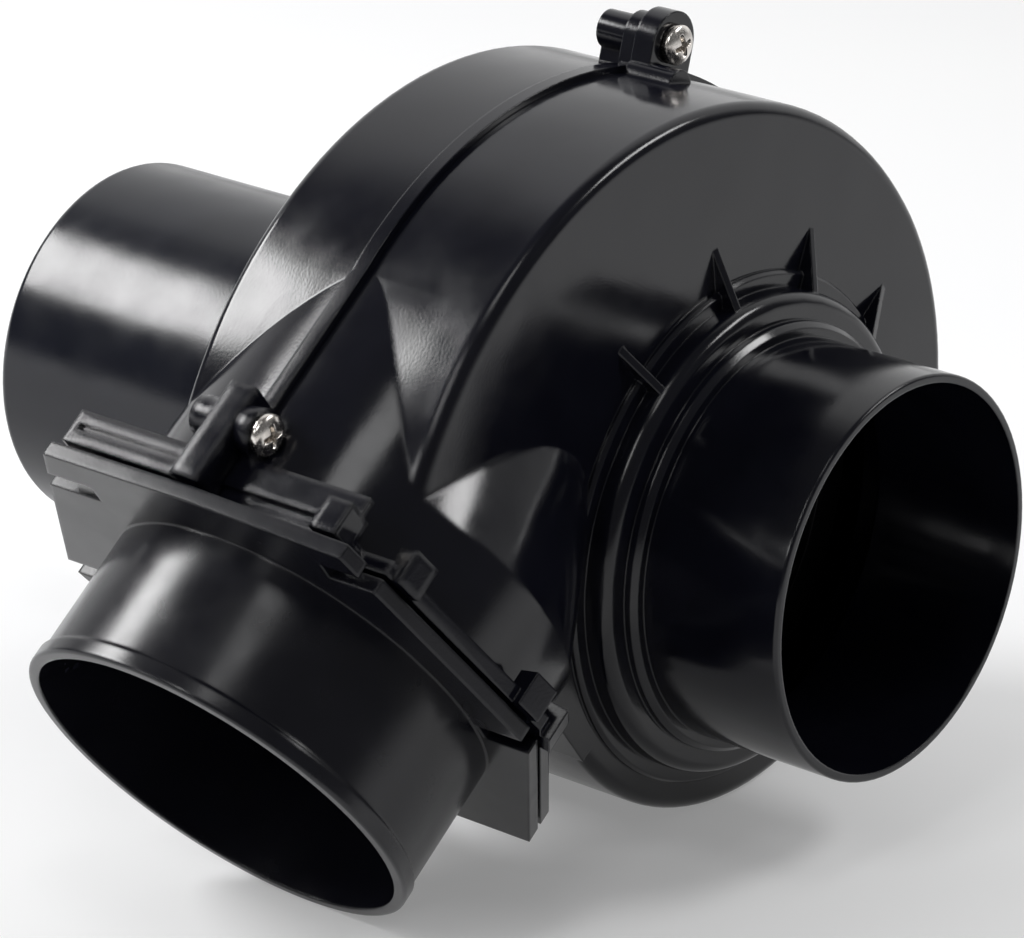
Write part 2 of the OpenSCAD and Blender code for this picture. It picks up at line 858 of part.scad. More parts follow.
// Springs behind the brushes: open turns on a thin spine, pressed against the can
module brush_springs() {
    turn_r = 1.4;
    wire = 0.5;
    length = can_r - can_wall - commutator_r - brush_l - 0.1;
    turns = 5;
    color("silver") placed()
        for (s = [0, 180])
            rotate([0, 0, s])
                translate([commutator_r + brush_l, 0, brush_z])
                    rotate([0, 90, 0]) {
                        for (i = [0 : turns - 1])
                            ring(turn_r, turn_r - wire, i * (length - wire) / (turns - 1),
                                i * (length - wire) / (turns - 1) + wire);
                        translate([turn_r - wire, -wire / 2, 0])
                            cube([wire * 0.8, wire, length]);
                    }
}

// Flat connector tabs through the end cap
module motor_terminals() {
    tail = 8;
    color("#c9b37a") placed()
        for (s = [-1, 1])
            translate([-terminal_w / 2, s * terminal_place - terminal_t / 2, cap_back - tail])
                difference() {
                    cube([terminal_w, terminal_t, tail + cap_plate + cap_plug - 1]);
                    translate([terminal_w / 2, -1, 3])
                        rotate([-90, 0, 0])
                            cylinder(r = 0.9, h = 3);
                }
}

module shaft() {
    color("lightgray") placed()
        rod(shaft_r, shaft_back, shaft_front);
}

// Slotted stack of laminations
module armature_core() {
    color("#707074") placed()
        difference() {
            rod(armature_r, armature_back, armature_front);
            rod(shaft_r, armature_back - 1, armature_front + 1);
            for (i = [0 : poles - 1])
                rotate([0, 0, i * 360 / poles]) {
                    translate([slot_place, 0, 0])
                        rod(slot_r, armature_back - 1, armature_front + 1);
                    translate([slot_place, -slot_w / 2, armature_back - 1])
                        cube([armature_r, slot_w, armature_l + 2]);
                }
        }
}

// Copper coils: a bundle through every slot and a rounded head at both ends
module armature_windings() {
    head_in = shaft_r + 1;
    head_out = armature_r - 1.2;
    soft = 1.5;
    color("#b5652b") placed() {
        for (i = [0 : poles - 1])
            rotate([0, 0, i * 360 / poles])
                translate([slot_place, 0, 0])
                    rod(slot_r, armature_back - tiny, armature_front + tiny);
        for (z = [armature_back - winding_l, armature_front])
            translate([0, 0, z])
                rotate_extrude()
                    polygon([
                        [head_in, 0], [head_out - soft, 0], [head_out, soft],
                        [head_out, winding_l - soft], [head_out - soft, winding_l], [head_in, winding_l]]);
    }
}

// Copper segments with thin slits between them
module commutator() {
    color("#c27a3a") placed()
        difference() {
            rod(commutator_r, commutator_back, commutator_back + commutator_l);
            rod(shaft_r, commutator_back - 1, commutator_back + commutator_l + 1);
            for (i = [0 : poles - 1])
                rotate([0, 0, i * 360 / poles])
                    translate([commutator_r - 1.2, -0.25, commutator_back - 1])
                        cube([2, 0.5, commutator_l + 2]);
        }
}

// Washers on the shaft, one before each bearing
module thrust_washers() {
    front_stop = can_front + boss_rise;
    color("ivory") placed() {
        ring(shaft_r + 2, shaft_r, front_stop + free_gap, hub_top - impeller_wall - 2);
        ring(shaft_r + 1.8, shaft_r, commutator_back - 1, commutator_back);
    }
}

// Forward-curved blade: an arc from the inner to the outer radius, hollow side leading
module blade() {
    centre_r = (impeller_r + blade_in_r) / 2 + 0.5;
    out_turn = acos((pow(impeller_r - 0.6, 2) - pow(centre_r, 2) - pow(blade_curve, 2))
        / (2 * centre_r * blade_curve));
    in_turn = acos((pow(blade_in_r, 2) - pow(centre_r, 2) - pow(blade_curve, 2))
        / (2 * centre_r * blade_curve));
    translate([centre_r, 0, -impeller_back - tiny])
        rotate([0, 0, -in_turn])
            rotate_extrude(angle = in_turn - out_turn)
                translate([blade_curve - blade_t / 2, 0])
                    square([blade_t, impeller_back + impeller_front - impeller_wall / 2]);
}

// Moulded wheel: a crowned hub over the motor's nose, a back plate, blades and a front ring
module impeller() {
    w = impeller_wall;
    color("#18181a") placed()
        difference() {
            union() {
                rotate_extrude()
                    polygon([
                        [0, hub_top - w], [crown_r - 1, hub_top - w], [skirt_r - w, -impeller_back - w],
                        [impeller_r, -impeller_back - w], [impeller_r, -impeller_back],
                        [skirt_r, -impeller_back], [crown_r, hub_top], [0, hub_top]]);
                rod(hub_r, hub_top - w - 2, hub_front);
                ring(impeller_r, blade_in_r + 5, impeller_front - w, impeller_front);
                for (i = [0 : blades - 1])
                    rotate([0, 0, i * 360 / blades])
                        blade();
            }
            rod(hub_bush_r, hub_top - w - 3, hub_front + 1);
        }
}

module impeller_bush() {
    color("#c8a45a") placed()
        ring(hub_bush_r, shaft_r, hub_top - impeller_wall - 2, hub_front);
}

module impeller_washer() {
    color("silver") placed()
        ring(hub_r - 1, shaft_r, hub_front, hub_front + washer_t);
}

module impeller_nut() {
    color("silver") placed()
        difference() {
            translate([0, 0, hub_front + washer_t])
                cylinder(r = shaft_r * 2, h = nut_h, $fn = 6);
            rod(shaft_r, hub_front, hub_front + washer_t + nut_h + 1);
        }
}

front_shell();
rear_shell();
motor_cover();
outlet_spigot();
outlet_gasket();
case_screws();
cover_screws();
motor_screws();
cable_grommet();
motor_can();
motor_magnets();
motor_end_cap();
front_bearing();
rear_bearing();
motor_brushes();
brush_springs();
motor_terminals();
shaft();
armature_core();
armature_windings();
commutator();
thrust_washers();
impeller();
impeller_bush();
impeller_washer();
impeller_nut();
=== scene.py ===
# %% [markdown]
# # A centrifugal intake fan
# A black moulded scroll of two shells stands on its outlet spigot and on the belly of the
# scroll. A long motor cover lies behind it, a short inlet pipe points to the viewer, and a
# bladed wheel turns inside. The solids come from the CAD frame and keep their places; this
# file gives them their finishes, swaps the case screws for finer ones, and lights them.

# %% Load the frame
import math

import bpy
import numpy as np
from mathutils import Matrix, Vector


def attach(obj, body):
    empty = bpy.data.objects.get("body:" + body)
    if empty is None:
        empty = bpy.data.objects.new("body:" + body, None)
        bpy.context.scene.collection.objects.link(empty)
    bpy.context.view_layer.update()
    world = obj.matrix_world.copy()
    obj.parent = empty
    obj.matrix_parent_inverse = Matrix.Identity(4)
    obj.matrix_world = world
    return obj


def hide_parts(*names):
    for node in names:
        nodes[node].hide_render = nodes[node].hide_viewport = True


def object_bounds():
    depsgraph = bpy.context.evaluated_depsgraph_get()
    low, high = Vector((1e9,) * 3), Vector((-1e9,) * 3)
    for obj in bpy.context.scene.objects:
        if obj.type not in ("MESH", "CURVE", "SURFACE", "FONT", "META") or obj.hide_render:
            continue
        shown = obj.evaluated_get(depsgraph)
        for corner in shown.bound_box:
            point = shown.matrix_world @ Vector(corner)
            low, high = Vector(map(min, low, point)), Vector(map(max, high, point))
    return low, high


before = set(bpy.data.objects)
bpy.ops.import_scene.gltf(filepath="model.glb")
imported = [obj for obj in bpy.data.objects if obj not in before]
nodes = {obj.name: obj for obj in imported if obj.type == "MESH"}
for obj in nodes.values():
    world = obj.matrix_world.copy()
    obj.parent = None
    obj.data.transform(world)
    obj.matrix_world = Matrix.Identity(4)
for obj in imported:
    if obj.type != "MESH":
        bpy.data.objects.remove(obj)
cad_low, cad_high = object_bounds()
MM = 0.001
print(len(nodes), "solids, overall size in mm:",
      [round((b - a) / MM, 1) for a, b in zip(cad_low, cad_high)])

# %% [markdown]
# ## Smooth curves on faceted solids
# The solids arrive as loose triangles. On a glossy black shell each facet would mirror the
# lamps by itself, so every solid gets two live modifiers: a small node group that welds the
# triangles and keeps an edge sharp only where its faces turn by more than a limit, and a
# weighted normal that lets a broad flat face win over the narrow strips of a rounding. The
# shallow crease where the throat leaves the top of the scroll runs out to nothing, so round
# that one spot the limit is lower.

# %% Weld and smooth every solid
WELD = 0.004 * MM
SHARP_TURN = math.radians(17)
CREASE_TURN = math.radians(4.8)
CREASE_SPOT = Vector((-71.3, 65.7, 55.7)) * MM
CREASE_REACH = 13 * MM


def compared(group, value, operation, limit):
    """Where the value is above or below a limit."""
    test = group.nodes.new("FunctionNodeCompare")
    test.operation = operation
    test.inputs["B"].default_value = limit
    group.links.new(value, test.inputs["A"])
    return test.outputs[0]


def both(group, first, second, operation):
    """Two yes-or-no values joined with AND or OR."""
    join = group.nodes.new("FunctionNodeBooleanMath")
    join.operation = operation
    group.links.new(first, join.inputs[0])
    group.links.new(second, join.inputs[1])
    return join.outputs[0]


def soft_edge_group():
    """Node group: points closer than WELD become one, then faces are smooth, and an edge
    is sharp where the angle between its faces is larger than SHARP_TURN, or larger than
    CREASE_TURN within CREASE_REACH of the crease."""
    group = bpy.data.node_groups.new("soft_edges", "GeometryNodeTree")
    for side in ("INPUT", "OUTPUT"):
        group.interface.new_socket("Geometry", in_out=side, socket_type="NodeSocketGeometry")
    add, link = group.nodes.new, group.links.new
    start, end = add("NodeGroupInput"), add("NodeGroupOutput")
    weld, smooth, sharp = (add("GeometryNodeMergeByDistance"), add("GeometryNodeSetShadeSmooth"),
                           add("GeometryNodeSetShadeSmooth"))
    angle, place, away = (add("GeometryNodeInputMeshEdgeAngle"), add("GeometryNodeInputPosition"),
                          add("ShaderNodeVectorMath"))
    weld.inputs["Distance"].default_value = WELD
    away.operation = "DISTANCE"
    away.inputs[1].default_value = CREASE_SPOT
    sharp.domain = "EDGE"
    sharp.inputs["Shade Smooth"].default_value = False
    link(start.outputs[0], weld.inputs[0])
    link(weld.outputs[0], smooth.inputs[0])
    link(smooth.outputs[0], sharp.inputs[0])
    link(place.outputs[0], away.inputs[0])
    turn = angle.outputs["Unsigned Angle"]
    in_crease = both(group, compared(group, away.outputs["Value"], "LESS_THAN", CREASE_REACH),
                     compared(group, turn, "GREATER_THAN", CREASE_TURN), "AND")
    link(both(group, compared(group, turn, "GREATER_THAN", SHARP_TURN), in_crease, "OR"),
         sharp.inputs["Selection"])
    link(sharp.outputs[0], end.inputs[0])
    return group


soft_edges = soft_edge_group()
for solid in nodes.values():
    solid.modifiers.new("soft edges", "NODES").node_group = soft_edges
    shade = solid.modifiers.new("flat faces win", "WEIGHTED_NORMAL")
    shade.keep_sharp = True
print("smoothed", len(nodes), "solids, sharp above", round(math.degrees(SHARP_TURN)), "degrees")

# %% [markdown]
# ## How a finish is built
# Every finish is one Principled shader. What is the same all over goes straight onto its
# sockets; what varies comes from noise on Object coordinates, which are metres here, so the
# size of a spot is given in millimetres times MM. A Bevel node rounds the shading of sharp
# edges by a few tenths of a millimetre, which is what a mould leaves and what draws the thin
# bright lines along the rims.

# %% Helpers for the finishes
NOISE_LOW, NOISE_HIGH = 0.3, 0.7
BEVEL_SAMPLES = 6
SPOT_CORE = 0.6


def noise(tree, size, low, high, detail=3.0, stretch=(1, 1, 1)):
    """A value that wanders between low and high over spots of about the given size in metres.
    The coordinates are divided by size and by stretch, so a stretch above 1 draws spots out.
    Most of the noise lies between NOISE_LOW and NOISE_HIGH, and that part is spread."""
    add, link = tree.nodes.new, tree.links.new
    place, mapping, field, spread = (add("ShaderNodeTexCoord"), add("ShaderNodeMapping"),
                                     add("ShaderNodeTexNoise"), add("ShaderNodeMapRange"))
    mapping.inputs["Scale"].default_value = [1 / (size * s) for s in stretch]
    field.inputs["Scale"].default_value = 1
    field.inputs["Detail"].default_value = detail
    spread.inputs["From Min"].default_value = NOISE_LOW
    spread.inputs["From Max"].default_value = NOISE_HIGH
    spread.inputs["To Min"].default_value = low
    spread.inputs["To Max"].default_value = high
    link(place.outputs["Object"], mapping.inputs["Vector"])
    link(mapping.outputs["Vector"], field.inputs["Vector"])
    link(field.outputs["Fac"], spread.inputs["Value"])
    return spread.outputs["Result"]


def two_tone(tree, mask, first, second):
    """A colour that goes from first to second as the mask goes from 0 to 1."""
    mix = tree.nodes.new("ShaderNodeMix")
    mix.data_type = "RGBA"
    mix.inputs["A"].default_value = (*first, 1)
    mix.inputs["B"].default_value = (*second, 1)
    tree.links.new(mask, mix.inputs["Factor"])
    return mix.outputs["Result"]


def bumps(tree, height, depth, base=None):
    """A normal that rises and falls by depth metres with the height, on top of a base normal."""
    bump = tree.nodes.new("ShaderNodeBump")
    bump.inputs["Distance"].default_value = depth
    tree.links.new(height, bump.inputs["Height"])
    if base is not None:
        tree.links.new(base, bump.inputs["Normal"])
    return bump.outputs["Normal"]


def smooth_step(tree, value, start, stop, low, high):
    """A value that goes smoothly from low to high while another goes from start to stop."""
    step = tree.nodes.new("ShaderNodeMapRange")
    step.interpolation_type = "SMOOTHSTEP"
    for socket, number in (("From Min", start), ("From Max", stop), ("To Min", low), ("To Max", high)):
        step.inputs[socket].default_value = number
    tree.links.new(value, step.inputs["Value"])
    return step.outputs["Result"]


def larger_of(tree, first, second):
    """The larger of two values."""
    larger = tree.nodes.new("ShaderNodeMath")
    larger.operation = "MAXIMUM"
    tree.links.new(first, larger.inputs[0])
    tree.links.new(second, larger.inputs[1])
    return larger.outputs[0]


def rounded(tree, radius, soft_spots=()):
    """A normal that turns smoothly round sharp edges, within radius metres of them. A soft spot
    is a centre, a reach and a larger radius: the radius grows towards the centre, and is full
    within SPOT_CORE of the reach."""
    add, link = tree.nodes.new, tree.links.new
    bevel = add("ShaderNodeBevel")
    bevel.samples = BEVEL_SAMPLES
    bevel.inputs["Radius"].default_value = radius
    grown = None
    for centre, reach, soft_radius in soft_spots:
        place, away = add("ShaderNodeTexCoord"), add("ShaderNodeVectorMath")
        away.operation = "DISTANCE"
        away.inputs[1].default_value = centre
        link(place.outputs["Object"], away.inputs[0])
        here = smooth_step(tree, away.outputs["Value"], reach, SPOT_CORE * reach, radius, soft_radius)
        grown = here if grown is None else larger_of(tree, grown, here)
    if grown is not None:
        link(grown, bevel.inputs["Radius"])
    return bevel.outputs["Normal"]


def blank(name, **sockets):
    """A new material with one Principled shader whose named sockets are set to constants."""
    material = bpy.data.materials.new(name)
    material.use_nodes = True
    shader = material.node_tree.nodes["Principled BSDF"]
    for socket, value in sockets.items():
        shader.inputs[socket.replace("_", " ")].default_value = value
    return material, material.node_tree, shader


def wear(material, node_names):
    """Puts the material on the named solids."""
    for name in node_names:
        nodes[name].data.materials.clear()
        nodes[name].data.materials.append(material)
    print(material.name, "on", ", ".join(node_names))


# %% [markdown]
# ## Moulded plastics
# The shells are polished black plastic with a cool tint. A broad noise gives the slow
# ripples of a moulding that cooled unevenly, another one changes the gloss from place to
# place, and a fine one is the grain. The cover is a little worn and the outlet spigot comes
# from a duller mould, so both are rougher. Where the fairing and the screw ear run into the
# throat, the mould is rounder, so two soft spots widen the shading of edges there.

# %% Plastic finishes
PLASTIC_IOR = 1.43
TONE_SPOT, GLOSS_SPOT, RIPPLE_SPOT, GRAIN_SPOT = 14 * MM, 9 * MM, 22 * MM, 0.5 * MM


def moulded(name, dark, light, gloss, ripple, grain, edge=0.5 * MM, soft_spots=()):
    """Injection-moulded plastic: tone between dark and light, roughness between the two
    gloss values, slow ripples of the given depth, a fine grain, and softened edges."""
    material, tree, shader = blank(name, IOR=PLASTIC_IOR)
    link = tree.links.new
    link(two_tone(tree, noise(tree, TONE_SPOT, 0, 1), dark, light), shader.inputs["Base Color"])
    link(noise(tree, GLOSS_SPOT, *gloss, detail=6), shader.inputs["Roughness"])
    soft = rounded(tree, edge, soft_spots)
    slow = bumps(tree, noise(tree, RIPPLE_SPOT, 0, 1, detail=1), ripple, soft)
    link(bumps(tree, noise(tree, GRAIN_SPOT, 0, 1, detail=2), grain, slow), shader.inputs["Normal"])
    return material


FAIRING_TIP = Vector((-86, 40, 33)) * MM
THROAT_EAR = Vector((-105, 76, 34)) * MM
gloss_black = moulded("polished black shell", (0.0030, 0.0032, 0.0064), (0.0052, 0.0055, 0.0096),
                      (0.11, 0.19), 0.10 * MM, 0.003 * MM,
                      soft_spots=((FAIRING_TIP, 40 * MM, 1.8 * MM),
                                  (THROAT_EAR, 26 * MM, 2.4 * MM)))
cover_black = moulded("worn black cover", (0.0030, 0.0038, 0.0080), (0.0052, 0.0062, 0.0116),
                      (0.17, 0.26), 0.12 * MM, 0.004 * MM)
satin_black = moulded("satin black spigot", (0.0040, 0.0041, 0.0070), (0.0068, 0.0070, 0.0106),
                      (0.19, 0.28), 0.08 * MM, 0.003 * MM, edge=0.8 * MM)
wheel_black = moulded("black wheel", (0.0050, 0.0050, 0.0055), (0.0085, 0.0085, 0.0092),
                      (0.32, 0.46), 0.03 * MM, 0.010 * MM, edge=0.3 * MM)
cap_grey = moulded("dark grey cap", (0.022, 0.022, 0.024), (0.036, 0.036, 0.038),
                   (0.42, 0.55), 0.02 * MM, 0.010 * MM, edge=0.2 * MM)
wear(gloss_black, ["front_shell", "rear_shell"])
wear(cover_black, ["motor_cover"])
wear(satin_black, ["outlet_spigot"])
wear(wheel_black, ["impeller"])
wear(cap_grey, ["motor_end_cap"])

# %% [markdown]
# ## Rubber and foam
# The grommet that marks where the lead leaves is soft dull rubber. The flange gasket is
# closed-cell foam: a cell pattern dents its surface, so it never shines.

# %% Soft finishes
RUBBER_IOR = 1.45
RUBBER_SPOT = 3 * MM


def pitted(name, dark, light, cell, pit, roughness):
    """Foam, rubber or pressed powder: round cells of the given size dent the surface by pit
    metres."""
    material, tree, shader = blank(name, Roughness=roughness, IOR=RUBBER_IOR)
    add, link = tree.nodes.new, tree.links.new
    place, cells = add("ShaderNodeTexCoord"), add("ShaderNodeTexVoronoi")
    cells.inputs["Scale"].default_value = 1 / cell
    link(place.outputs["Object"], cells.inputs["Vector"])
    link(two_tone(tree, noise(tree, RUBBER_SPOT, 0, 1), dark, light), shader.inputs["Base Color"])
    link(bumps(tree, cells.outputs["Distance"], pit), shader.inputs["Normal"])
    return material


foam = pitted("foam gasket", (0.018, 0.018, 0.019), (0.035, 0.035, 0.036),
              0.6 * MM, 0.10 * MM, 0.9)
rubber = pitted("rubber grommet", (0.014, 0.014, 0.014), (0.024, 0.023, 0.022),
                0.25 * MM, 0.01 * MM, 0.7)
wear(foam, ["outlet_gasket"])
wear(rubber, ["cable_grommet"])

# %% [markdown]
# ## Metals
# The screws are bright nickel, the can is zinc-plated steel, the bearings are sintered bronze.
# A metal needs little more than a colour and a roughness; fine scratches, drawn out along
# one direction by stretching the noise, keep it from looking like chrome.

# %% Metal finishes
METAL_SPOT = 2.5 * MM
METAL_EDGE = 0.12 * MM
ALONG_FAN = (1, 12, 1)


def metal(name, dark, light, gloss, scratch=0.002 * MM, stretch=(1, 1, 1), grain=0.4 * MM):
    """Bare or plated metal: tone between dark and light, roughness between the gloss values,
    scratches of the given depth drawn out by stretch."""
    material, tree, shader = blank(name, Metallic=1.0)
    link = tree.links.new
    link(two_tone(tree, noise(tree, METAL_SPOT, 0, 1), dark, light), shader.inputs["Base Color"])
    link(noise(tree, grain, *gloss, stretch=stretch), shader.inputs["Roughness"])
    scratches = noise(tree, grain / 2, 0, 1, stretch=stretch)
    link(bumps(tree, scratches, scratch, rounded(tree, METAL_EDGE)), shader.inputs["Normal"])
    return material


nickel = metal("bright nickel screw", (0.62, 0.58, 0.54), (0.80, 0.77, 0.73), (0.16, 0.30))
zinc = metal("zinc-plated can", (0.42, 0.43, 0.45), (0.58, 0.59, 0.60), (0.28, 0.42),
             stretch=ALONG_FAN)
steel = metal("ground steel", (0.48, 0.48, 0.49), (0.62, 0.62, 0.63), (0.14, 0.26))
bronze = metal("sintered bronze", (0.36, 0.24, 0.12), (0.50, 0.34, 0.18), (0.40, 0.58),
               0.01 * MM, grain=0.2 * MM)
brass = metal("tinned brass", (0.60, 0.52, 0.36), (0.74, 0.68, 0.54), (0.24, 0.36))
spring_steel = metal("spring wire", (0.40, 0.38, 0.34), (0.56, 0.54, 0.50), (0.22, 0.34))
wear(nickel, ["case_screws", "cover_screws", "motor_screws", "impeller_nut", "impeller_washer"])
wear(zinc, ["motor_can"])
wear(steel, ["shaft"])
wear(bronze, ["front_bearing", "rear_bearing"])
wear(brass, ["motor_terminals", "impeller_bush"])
wear(spring_steel, ["brush_springs"])

# %% [markdown]
# ## Inside the motor
# The armature is a stack of thin steel sheets, so its side shows fine lines across the
# axis; the coils are lacquered copper wire laid side by side; the commutator is bare copper
# with polish marks round it. Each pattern is a wave along the fan axis, which is Y here.
# Magnets and brushes are pressed powder, and the thrust washers are natural nylon.

# %% Finishes inside the motor
WAVE_RADIANS = 20
WAVE_WOBBLE = 0.3


def striped(name, dark, light, pitch, depth, roughness, metallic):
    """Bands across the fan axis: a sine wave along Y with the given pitch sets tone and relief.
    A wave texture of scale 1 turns by WAVE_RADIANS per metre."""
    material, tree, shader = blank(name, Roughness=roughness, Metallic=metallic)
    add, link = tree.nodes.new, tree.links.new
    place, wave = add("ShaderNodeTexCoord"), add("ShaderNodeTexWave")
    wave.bands_direction = "Y"
    wave.inputs["Scale"].default_value = 2 * math.pi / (WAVE_RADIANS * pitch)
    wave.inputs["Distortion"].default_value = WAVE_WOBBLE
    link(place.outputs["Object"], wave.inputs["Vector"])
    link(two_tone(tree, wave.outputs["Fac"], dark, light), shader.inputs["Base Color"])
    link(bumps(tree, wave.outputs["Fac"], depth), shader.inputs["Normal"])
    return material


laminations = striped("laminated steel", (0.20, 0.20, 0.21), (0.44, 0.44, 0.45),
                      0.5 * MM, 0.03 * MM, 0.42, 1.0)
copper_wire = striped("lacquered copper wire", (0.20, 0.055, 0.018), (0.55, 0.19, 0.07),
                      0.6 * MM, 0.15 * MM, 0.28, 0.7)
bare_copper = striped("commutator copper", (0.60, 0.30, 0.17), (0.78, 0.44, 0.28),
                      0.25 * MM, 0.004 * MM, 0.24, 1.0)
ferrite = pitted("ferrite magnet", (0.035, 0.035, 0.038), (0.070, 0.070, 0.074),
                 0.3 * MM, 0.008 * MM, 0.6)
nylon = moulded("natural nylon washer", (0.52, 0.48, 0.38), (0.62, 0.58, 0.48), (0.40, 0.55),
                0.01 * MM, 0.006 * MM, edge=0.2 * MM)
carbon = pitted("carbon brush", (0.016, 0.016, 0.017), (0.045, 0.045, 0.047),
                0.2 * MM, 0.01 * MM, 0.5)
wear(laminations, ["armature_core"])
wear(copper_wire, ["armature_windings"])
wear(bare_copper, ["commutator"])
wear(ferrite, ["motor_magnets"])
wear(nylon, ["thrust_washers"])
wear(carbon, ["motor_brushes"])

# %% [markdown]
# ## Case screws
# The four cross-head screws are the only bright things in sight, so they are worth their
# own mesh. A screw is a turned profile, carried round its axis; the cross recess is a dent
# in the head that is worked out for every point of the grid, and the thread is a ripple of
# the shank's radius that climbs as it goes round.

# %% Screw surface
DOME_RINGS, SHANK_RINGS, COLUMNS = 48, 90, 144
DOME_START, DOME_RIM, DOME_BEND = 0.03, 0.42, 0.96
EDGE_H, UNDERSIDE_R = 0.2, 0.97
THREAD_ROOT, POINT_R = 0.8, 0.35
ARM_W, ARM_L, ARM_DEPTH, ARM_SIDE, ARM_END = 0.15, 0.62, 0.62, 0.10, 0.35


def turned_faces(rows, columns):
    """Faces of a turned body: quads between neighbouring rings, whose last column meets the
    first, and a fan of triangles from each end ring to a pole. The rings come first, from the
    top down, then the top pole and the bottom pole."""
    i, j = np.meshgrid(np.arange(rows - 1), np.arange(columns), indexing="ij")
    k = (j + 1) % columns
    quads = np.stack([i * columns + j, (i + 1) * columns + j,
                      (i + 1) * columns + k, i * columns + k], axis=-1)
    around = np.arange(columns)
    after, last = (around + 1) % columns, (rows - 1) * columns
    top = np.stack([np.full(columns, rows * columns), around, after], axis=-1)
    bottom = np.stack([np.full(columns, rows * columns + 1), last + after, last + around], axis=-1)
    return quads.reshape(-1, 4).tolist() + top.tolist() + bottom.tolist()


def screw_points(head_r, head_h, shank_r, length, pitch):
    """One screw with its head up along +Z and its seat at z = 0. The profile (radius, height)
    runs from near the middle of the head over its rim, under the head and down the shank.
    Dome: z = head_h (DOME_RIM + (1 - DOME_RIM) sqrt(1 - (DOME_BEND u)^2)) for u up to 1.
    Thread: the radius is a triangle wave of turn + z / pitch, between THREAD_ROOT and 1, and it
    tapers to a point. Recess: a dent that is full along two crossed arms and fades out over
    ARM_SIDE and ARM_END. Two poles close the ends."""
    turn = np.linspace(0, 2 * np.pi, COLUMNS, endpoint=False)
    across = np.linspace(DOME_START, 1, DOME_RINGS)
    dome_z = head_h * (DOME_RIM + (1 - DOME_RIM) * np.sqrt(1 - (DOME_BEND * across) ** 2))
    radius = np.concatenate([head_r * across, [head_r, head_r * UNDERSIDE_R],
                             np.full(SHANK_RINGS, shank_r)])
    height = np.concatenate([dome_z, [head_h * EDGE_H, 0], np.linspace(0, -length, SHANK_RINGS)])
    r, t = np.meshgrid(radius, turn, indexing="ij")
    z = np.repeat(height[:, None], COLUMNS, axis=1)
    ring = np.arange(len(radius))[:, None]
    thread = THREAD_ROOT + (1 - THREAD_ROOT) * np.abs(2 * ((t / (2 * np.pi) + z / pitch) % 1) - 1)
    taper = np.clip((z + length) / (2 * pitch), POINT_R, 1)
    r = np.where(ring > DOME_RINGS + 2, r * thread * taper, r)
    x, y = r * np.cos(t), r * np.sin(t)
    side, reach = np.minimum(np.abs(x), np.abs(y)), np.maximum(np.abs(x), np.abs(y))
    dent = (np.clip((ARM_W * head_r - side) / (ARM_SIDE * head_r), 0, 1)
            * np.clip((ARM_L * head_r - reach) / (ARM_END * head_r), 0, 1))
    z = np.where(ring < DOME_RINGS, z - ARM_DEPTH * head_h * dent, z)
    poles = np.array([[0, 0, z[0].mean()], [0, 0, -length]])
    grid = np.stack([x, y, z], axis=-1).reshape(-1, 3)
    return np.concatenate([grid, poles]), turned_faces(*z.shape)


# %% [markdown]
# ## Where the screws go
# The four plain screws of the CAD model are one solid. Their corner points are sorted into
# four spots, and each spot gives the place, head radius and length of one fine screw. The
# cross of each screw stands at another angle, as screws do.

# %% Helpers for the screws
TO_FAN_AXIS = np.array([[1, 0, 0], [0, 0, -1], [0, 1, 0]])
HEAD_H, SHANK_R, THREAD_PITCH = 2.6 * MM, 2.0 * MM, 1.6 * MM
SCREW_APART = 12 * MM
SCREW_ANGLES = (0.3, 1.1, 0.6, 0.2)


def mesh_piece(name, points, faces, material, body):
    """Makes one object from points in metres and faces, smooth, riding on a body."""
    mesh = bpy.data.meshes.new(name)
    mesh.from_pydata(points, [], faces)
    mesh.polygons.foreach_set("use_smooth", np.ones(len(faces), bool))
    mesh.materials.append(material)
    piece = bpy.data.objects.new(name, mesh)
    bpy.context.scene.collection.objects.link(piece)
    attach(piece, body)
    print(name, "has", len(faces), "faces")
    return piece


def separate_spots(points, apart):
    """Groups points that lie within a distance of each other in X and Z, as index arrays."""
    left, groups = np.arange(len(points)), []
    while len(left):
        near = np.hypot(*(points[left][:, [0, 2]] - points[left[0]][[0, 2]]).T) < apart
        groups.append(left[near])
        left = left[~near]
    return groups


def solid_points(name):
    """All corner points of a solid at rest, as an array in metres."""
    flat = np.zeros(len(nodes[name].data.vertices) * 3)
    nodes[name].data.vertices.foreach_get("co", flat)
    return flat.reshape(-1, 3)


def turn_about_z(angle):
    """Matrix of a turn about Z by an angle in radians."""
    c, s = math.cos(angle), math.sin(angle)
    return np.array([[c, -s, 0], [s, c, 0], [0, 0, 1]])


# %% Place the four case screws
corners = solid_points("case_screws")
screws, faces, used = [], [], 0
for spot, angle in zip(separate_spots(corners, SCREW_APART), SCREW_ANGLES):
    low, high = corners[spot].min(0), corners[spot].max(0)
    centre, seat = (low + high) / 2, low[1] + HEAD_H
    head_r, length = (high[0] - low[0]) / 2, high[1] - seat
    one, one_faces = screw_points(head_r, HEAD_H, SHANK_R, length, THREAD_PITCH)
    screws.append(one @ turn_about_z(angle).T @ TO_FAN_AXIS.T + [centre[0], seat, centre[2]])
    faces += [[corner + used for corner in face] for face in one_faces]
    used += len(one)
case_screws = mesh_piece("cross_head_case_screws", np.concatenate(screws), faces, nickel, "housing")
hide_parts("case_screws")

# %% [markdown]
# ## Floor and backdrop
# The fan stands on a seamless white sheet. To a camera and to a glossy surface the sheet
# should read as white, although the lamps alone leave it a light grey, so its material adds
# a little glow for camera, glossy and transmission rays only. The glow lights nothing, and
# the shadow under the fan stays.

# %% White sheet
SHEET_HALF = 20.0
SHEET_GLOW = 0.24
SHEET_SPOT = 0.4
SHEET_TONES = (0.69, 0.69, 0.70), (0.72, 0.72, 0.72)


